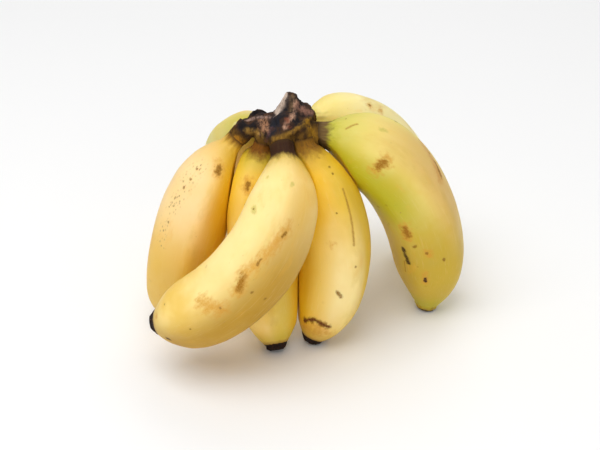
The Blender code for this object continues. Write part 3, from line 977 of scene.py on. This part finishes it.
# %% Push the crown in and out, and keep the height
SAWN_UNIT = SAWN_NORMAL / np.linalg.norm(SAWN_NORMAL)
SAWN_NEAR, SAWN_FACING = (-0.9, -0.3), (0.75, 0.95)  # how near to the cut, and how squarely a point faces as it does
SAWN_BOTTOM, SAWN_FRONT = (106.4, 107.8), (-4.0, -2.4)  # where the flat face ends, in z and in y
WING_EDGE = (-17, -11)  # left of this in x lies the wing
STUB_ALONG, STUB_NEAR, STUB_FADE = (-4.5, -1.2), 1.2, 2
UPRIGHT, SIDEWAYS, ALONG_FIBRES = [1.0, 0.42, 0.42], [0.42, 1.0, 1.0], [0.9, 0.6, 0.6]
RIB_SHARPNESS = 2.2
RIB_HEIGHT, FOLD_HEIGHT, FINE_HEIGHT, SHRINKING = 0.48, 0.65, 0.26, 0.3
STUB_CALM = 0.6  # how much flatter the stubs are


def crown_points(made):
    count = len(made.data.vertices)
    places, normals = np.empty(count * 3), np.empty(count * 3)
    made.data.vertices.foreach_get("co", places)
    made.data.vertices.foreach_get("normal", normals)
    return places.reshape(-1, 3) / MM + MIDDLE, normals.reshape(-1, 3)


def stub_share(points):
    """1 on the stubs that carry the fingers and 0 on the rest of the crown."""
    on_stub = np.zeros(len(points))
    for finger in FINGERS.values():
        root, ahead, _ = centre_line(finger, [0.0])
        along = (points - root[0]) @ ahead[0]
        beside = np.linalg.norm(points - root[0] - along[:, None] * ahead[0], axis=1)
        wide = float(radius_at(finger, 0)) + STUB_NEAR
        on_stub = np.maximum(on_stub, fade(along, *STUB_ALONG) * (1 - fade(beside, wide, wide + STUB_FADE)))
    return on_stub


def crown_relief(made):
    points, normals = crown_points(made)
    sawn = fade((points - SAWN_POINT) @ SAWN_UNIT, *SAWN_NEAR) * fade(normals @ SAWN_UNIT, *SAWN_FACING)
    sawn = sawn * fade(points[:, 2], *SAWN_BOTTOM) * fade(points[:, 1], *SAWN_FRONT)
    stub = stub_share(points)
    wing = 1 - fade(points[:, 0], *WING_EDGE)
    upright = 1 - np.abs(soft_noise(points * UPRIGHT, 2.3, 21)) * RIB_SHARPNESS
    sideways = 1 - np.abs(soft_noise(points * SIDEWAYS, 2.3, 24)) * RIB_SHARPNESS
    folds = soft_noise(points, 5.5, 22)
    fine = soft_noise(points * ALONG_FIBRES, 0.95, 23)
    ribs = upright * (1 - wing) + sideways * wing
    height = ribs * RIB_HEIGHT + folds * FOLD_HEIGHT + fine * FINE_HEIGHT
    height = height * (1 - sawn) * (1 - STUB_CALM * stub) - SHRINKING
    made.data.vertices.foreach_set("co", to_metres(points + normals * height[:, None]).ravel())
    for label, value in (("height", height), ("sawn", sawn), ("stub", stub)):
        keep(made.data, label, value)
    made.data.shade_smooth()
    made.data.update()
    print("crown relief from", height.min().round(2), "to", height.max().round(2), "mm")


crown_relief(crown)
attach(crown, "root")
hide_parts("crown")

# %% [markdown]
# ## The colours of the crown
#
# No two sides of the crown have the same colour: the hollow under the knob is blue-black, the ribs are pinkish and
# bare, the lip is still olive, and the sawn face is pale. Each of these areas is named by where it shows, like the
# marks on the peel. Noise breaks up their edges and fills all that the picture doesn't show.

# %% The areas of the crown: what it is, places in the picture, width, colour, strength
AREAS = [
    ("worn edge of the sawn face", [(284, 98), (279, 110)], 3.4, (0.56, 0.42, 0.33), 0.90),
    ("blue-black hollow", [(276, 114), (273, 128)], 9.0, (0.016, 0.017, 0.024), 0.90),
    ("dark side of the knob", [(287, 97), (284, 112)], 3.2, (0.040, 0.026, 0.022), 0.80),
    ("olive side of the knob", [(292, 97), (290, 110)], 3.0, (0.15, 0.095, 0.050), 0.75),
    ("bare rib", [(296, 101), (292, 116), (285, 126)], 2.6, (0.50, 0.28, 0.18), 0.85),
    ("right lobe", [(301, 107), (309, 111)], 5.0, (0.27, 0.13, 0.090), 0.75),
    ("red-brown streak", [(287, 117), (290, 126)], 2.4, (0.20, 0.06, 0.030), 0.75),
    ("hollow of the wing", [(239, 126), (254, 125)], 3.6, (0.010, 0.008, 0.009), 0.95),
    ("ridge of the wing", [(246, 119), (258, 116), (268, 117)], 2.2, (0.36, 0.23, 0.18), 0.75),
    ("bare middle", [(262, 120), (264, 131)], 4.2, (0.46, 0.23, 0.12), 0.85),
    ("golden underside", [(248, 132), (258, 136)], 4.0, (0.42, 0.24, 0.05), 0.75),
    ("purple strand", [(271, 128), (265, 141)], 2.0, (0.13, 0.060, 0.060), 0.80),
    ("olive lip", [(273, 138), (282, 137), (291, 133), (300, 127), (308, 120)], 2.6, (0.24, 0.125, 0.018), 0.90),
    ("stalk side of the left stub", [(236, 140), (240, 146)], 4.0, (0.38, 0.17, 0.015), 0.85),
    ("stalk side of the right stub", [(311, 124), (314, 136)], 6.0, (0.34, 0.17, 0.012), 0.90),
]


def crown_spots(places):
    points, normals = crown_points(crown)
    return [to_metres(points[seen_at(place, points, normals)]) / MM for place in places]


print("areas of the crown:", len(AREAS))

# %% [markdown]
# ## The crown as a finish
#
# Dark brown and black lie under everything. Red-brown streaks and the olive stubs come next, and the stubs are
# darkened by painted shade where they lie under the lip.
# Then come the named areas, then pale fibres wherever the surface stands up, and last the sawn face. The height that
# was kept with the mesh decides which fibres are pale, so colour and shape agree from every side.

# %% Mix the finish of the crown
CROWN_TEXTURES = {
    # squeeze in x, y and z, scale, detail and roughness
    "broad": (None, 0.16, 3.0, 0.6),
    "streaks": ((1.0, 0.45, 0.45), 0.75, 4.0, 0.65),
    "grit": (None, 2.4, 3.0, 0.6),
    "mottle": (None, 0.6, 4.0, 0.65),
}
DEEP_BROWN, NEAR_BLACK, RED_BROWN = (0.045, 0.022, 0.012), (0.014, 0.011, 0.012), (0.15, 0.060, 0.025)
# the stub colours are the olive-brown of the stalks, darkened as painted shade where the stubs lie under the lip
STUB_OLIVE_AND_SHADE, STUB_DARK_AND_SHADE = (0.15, 0.072, 0.008), (0.028, 0.012, 0.004)
BARE_FIBRE, BARE_STRENGTH = (0.33, 0.17, 0.10), 0.45
SAWN_PALE, SAWN_BROWN = (0.66, 0.52, 0.42), (0.34, 0.24, 0.18)
LAYER = 0.8  # how strong the streaks and the stub colours are
AREA_RAGGED, AREA_START, AREA_STREAKS, AREA_BOOST = 0.8, 0.80, (0.30, 0.62), 1.3
RAISED = (0.30, 0.75)  # from which height on fibres are pale, in millimetres
CROWN_DULL, GRIT_DULL, RAISED_SHINE = 0.62, 0.25, 0.12
STREAK_BUMP, GRIT_BUMP, CROWN_BUMP, CROWN_BUMP_DEPTH = 0.9, 0.5, 0.6, 0.0008
CROWN_SPECULAR = 0.12


def crown_finish():
    finish = Finish("dried_crown_finish", (0.06, 0.035, 0.02), 0.8)
    place = finish.node("ShaderNodeTexCoord", out=3) * (1 / MM)
    height, sawn, stub = (finish.kept(label) for label in ("height", "sawn", "stub"))
    broad, streaks, grit, mottle = (
        finish.noise(place * squeeze if squeeze else place, *values) for squeeze, *values in CROWN_TEXTURES.values())
    colour = finish.mix(DEEP_BROWN, NEAR_BLACK, broad.fade(0.45, 0.60))
    colour = finish.mix(colour, RED_BROWN, (streaks.fade(0.50, 0.68) * broad.fade(0.60, 0.42)) * LAYER)
    colour = finish.mix(colour, STUB_OLIVE_AND_SHADE, stub * LAYER)
    colour = finish.mix(colour, STUB_DARK_AND_SHADE, (stub * streaks.fade(0.42, 0.60)) * LAYER)
    for _, places, width, area_colour, strength in AREAS:
        off = finish.from_line(place, crown_spots(places)) + (mottle - 0.5) * (width * AREA_RAGGED)
        mask = off.fade(width * AREA_START, 0.0) * streaks.fade(*AREA_STREAKS)
        colour = finish.mix(colour, area_colour, (mask * (strength * AREA_BOOST)).within())
    raised = (height + (grit - 0.5) * 0.5).fade(*RAISED)
    colour = finish.mix(colour, BARE_FIBRE, raised * BARE_STRENGTH)
    pale = finish.mix(SAWN_PALE, SAWN_BROWN, streaks.fade(0.42, 0.70))
    finish.feed("Base Color", finish.mix(colour, pale, sawn))
    finish.feed("Roughness", (CROWN_DULL + grit * GRIT_DULL - raised * RAISED_SHINE).within())
    finish.bump(streaks * STREAK_BUMP + grit * GRIT_BUMP, CROWN_BUMP, CROWN_BUMP_DEPTH)
    finish.constant("Specular IOR Level", CROWN_SPECULAR)
    return finish.material


crown.data.materials.append(crown_finish())
print("crown finish has", len(crown.data.materials[0].node_tree.nodes), "nodes")

# %% [markdown]
# ## Table, light and colour
#
# A plain pale table fills the frame. A broad soft light hangs above, a little to the front and left, and two
# weaker ones stand in front and behind. A dim white surrounding fills the shadows, which keeps the waxy gloss wide
# and gentle. A small hard lamp would be simpler, but it would draw sharp spots on every finger.

# %% Table and lights
LIGHTS = [
    # name, place, aim, size, power in watts
    ("sky_panel", (-0.32, -0.42, 1.25), (0, 0, 0.05), 1.1, 12.5),
    ("front_panel", (0.25, -1.25, 0.50), (0, 0, 0.05), 0.9, 2.6),
    ("back_panel", (0.25, 0.90, 1.10), (0, 0, 0.08), 0.9, 3.5),
]
SURROUNDINGS = 0.42
TABLE_HALF = 4.0  # metres


def add_table():
    mesh = bpy.data.meshes.new("table")
    half = TABLE_HALF
    mesh.from_pydata([(-half, -half, 0), (half, -half, 0), (half, half, 0), (-half, half, 0)], [], [(0, 1, 2, 3)])
    table = bpy.data.objects.new("table", mesh)
    bpy.context.scene.collection.objects.link(table)
    mesh.materials.append(Finish("table_top", (0.93, 0.93, 0.93), 0.9).material)


def add_light(name, place, aim, size, power):
    data = bpy.data.lights.new(name, "AREA")
    data.shape, data.size, data.energy = "SQUARE", size, power
    made = bpy.data.objects.new(name, data)
    made.location = place
    made.rotation_euler = (Vector(aim) - Vector(place)).to_track_quat("-Z", "Y").to_euler()
    bpy.context.scene.collection.objects.link(made)


def add_surroundings(strength):
    world = bpy.data.worlds.new("surroundings")
    bpy.context.scene.world = world
    world.use_nodes = True
    world.node_tree.nodes["Background"].inputs["Color"].default_value = (1, 1, 1, 1)
    world.node_tree.nodes["Background"].inputs["Strength"].default_value = strength


add_table()
for light in LIGHTS:
    add_light(*light)
add_surroundings(SURROUNDINGS)
bpy.context.scene.view_settings.view_transform = "Standard"
print("lights:", len(LIGHTS))
